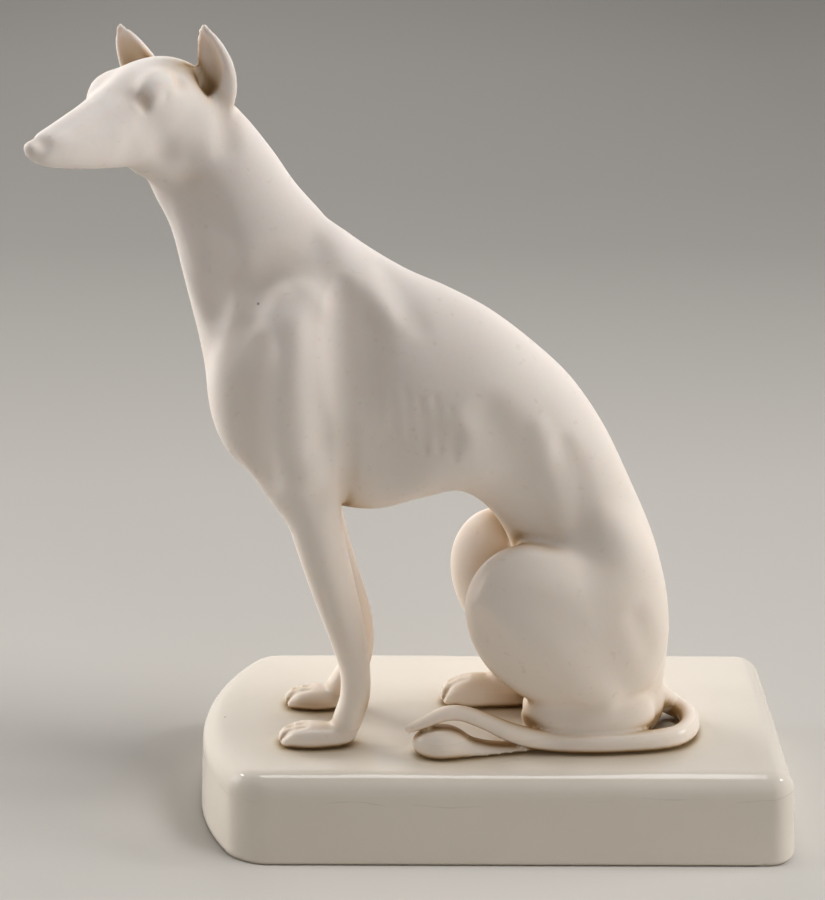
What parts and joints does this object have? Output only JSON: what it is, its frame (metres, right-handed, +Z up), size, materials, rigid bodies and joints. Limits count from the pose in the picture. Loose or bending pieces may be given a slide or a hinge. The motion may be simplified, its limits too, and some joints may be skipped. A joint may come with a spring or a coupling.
{
  "type": "seated greyhound statue",
  "caption": "Greyhound sitting upright on an oblong plinth, its head turned to its left and its tail curled round the haunch; stands by its own weight on a flat underside.",
  "frame": {"origin": "middle of the plinth's underside", "axes": "+Z up; the dog's body faces -X and its rump is towards +X; +Y away from its left side, which the picture shows"},
  "size_m": [0.1532, 0.066, 0.1727],
  "materials": {
    "biscuit": "unglazed ivory biscuit, matt",
    "glaze": "clear glaze on ivory body, glossy"
  },
  "bodies": {
    "root": {"greyhound": "biscuit", "plinth": "glaze"}
  },
  "joints": []
}
